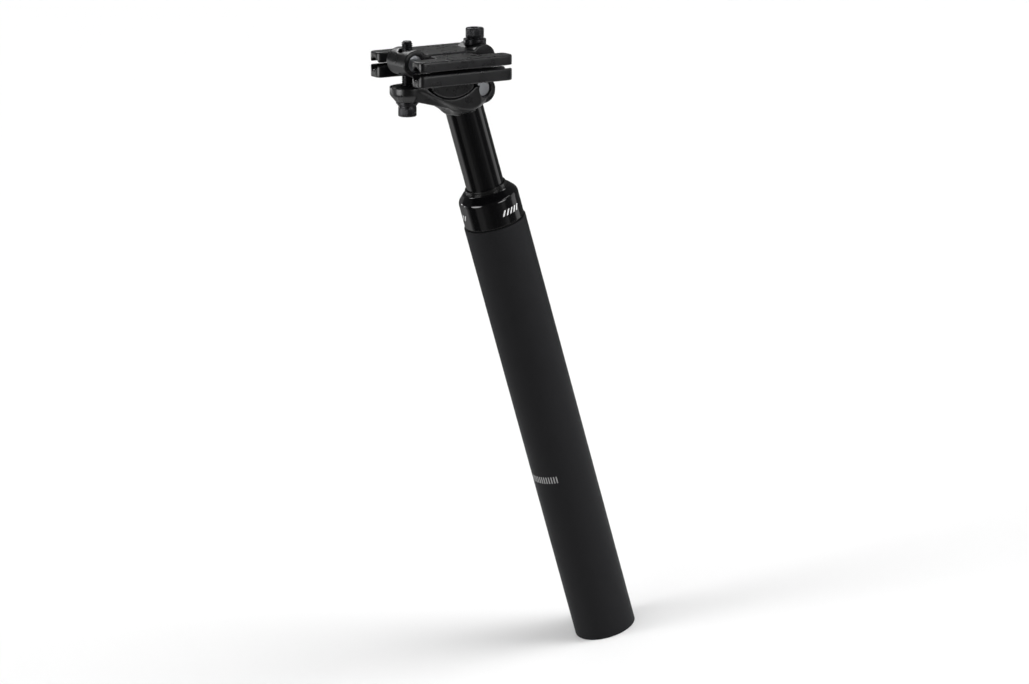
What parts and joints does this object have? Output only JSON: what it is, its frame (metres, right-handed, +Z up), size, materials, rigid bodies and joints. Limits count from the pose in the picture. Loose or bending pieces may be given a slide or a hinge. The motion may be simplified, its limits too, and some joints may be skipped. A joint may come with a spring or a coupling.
{
  "type": "suspension seatpost",
  "caption": "Telescoping suspension seatpost: a sprung shaft slides in a straight outer tube under a wiper collar and carries a tilting two-bolt saddle rail clamp.",
  "frame": {"origin": "centre of the outer tube's lower end, on the post's axis", "axes": "+Z up the post's axis towards the saddle, +X to the front of the bicycle, +Y to its left"},
  "size_m": [0.0647, 0.0546, 0.3711],
  "materials": {
    "matte_black_tube": "matte bead-blasted black anodising",
    "gloss_black_collar": "polished black anodising",
    "gloss_black_shaft": "polished black hard anodising",
    "satin_black_forging": "satin black over a shot-blasted forging",
    "satin_black_clamp": "satin black over a shot-blasted forging",
    "wiper_rubber": "satin moulded rubber",
    "seal_rubber": "moulded rubber",
    "pale_pom": "turned acetal",
    "dark_nylon": "moulded nylon",
    "amber_nylon": "moulded nylon",
    "amber_elastomer": "cast elastomer",
    "spring_steel": "shot-peened and oiled spring wire",
    "hardened_steel": "ground steel",
    "black_bolt_steel": "black oxide",
    "plated_steel": "zinc plated",
    "turned_aluminium": "turned",
    "adjuster_aluminium": "turned and black anodised"
  },
  "bodies": {
    "lower": {"lower_tube": "matte_black_tube", "collar": "gloss_black_collar", "wiper_seal": "wiper_rubber", "collar_o_ring": "seal_rubber", "guide_bushing": "pale_pom", "main_spring": "spring_steel"},
    "upper": {"shaft": "gloss_black_shaft", "head": "satin_black_forging", "guide_keys": "hardened_steel", "slider": "pale_pom", "top_out_bumper": "seal_rubber", "shaft_foot": "turned_aluminium", "spring_washer": "amber_nylon", "rear_bolt": "black_bolt_steel", "rear_washer": "black_bolt_steel", "front_nut": "plated_steel"},
    "cradle": {"lower_cradle": "satin_black_clamp", "upper_clamp": "satin_black_clamp"},
    "front_screw": {"front_bolt": "black_bolt_steel", "front_washer": "black_bolt_steel"},
    "rear_nut_body": {"rear_nut": "plated_steel"},
    "spring_carrier": {"spring_seat": "turned_aluminium", "spring_guide": "dark_nylon", "bottom_bumper": "amber_elastomer"},
    "adjuster": {"preload_plug": "adjuster_aluminium"}
  },
  "joints": [
    {"name": "suspension_travel", "type": "slide", "parent": "lower", "child": "upper", "axis": [0, 0, 1], "range_m": [-0.04, 0], "stiffness_N_per_m": 19800, "springref_m": 0.01, "deforming": ["main_spring"]},
    {"name": "cradle_tilt", "type": "hinge", "parent": "upper", "child": "cradle", "pos_m": [-0.00568, 0, 0.35292], "axis": [0, 1, 0], "range_deg": [-8, 8]},
    {"name": "rear_nut_turn", "type": "hinge", "parent": "cradle", "child": "rear_nut_body", "pos_m": [-0.02624, 0, 0.3592], "axis": [0, 1, 0], "range_deg": [-8.1, 8.1]},
    {"name": "front_bolt_height", "type": "slide", "parent": "upper", "child": "front_screw", "axis": [0.2924, 0, 0.9563], "range_m": [-0.0031, 0.0031]},
    {"name": "preload_height", "type": "slide", "parent": "lower", "child": "spring_carrier", "axis": [0, 0, 1], "range_m": [0, 0.0061]},
    {"name": "preload_turn", "type": "hinge", "parent": "spring_carrier", "child": "adjuster", "pos_m": [0, 0, 0.016], "axis": [0, 0, 1], "range_deg": [0, 1440]}
  ],
  "couplings": [
    {"joint": "rear_nut_turn", "follows": "cradle_tilt", "ratio": -1},
    {"joint": "front_bolt_height", "follows": "cradle_tilt", "m_per_rad": -0.0215},
    {"joint": "preload_height", "follows": "preload_turn", "m_per_rad": 0.00023873}
  ]
}
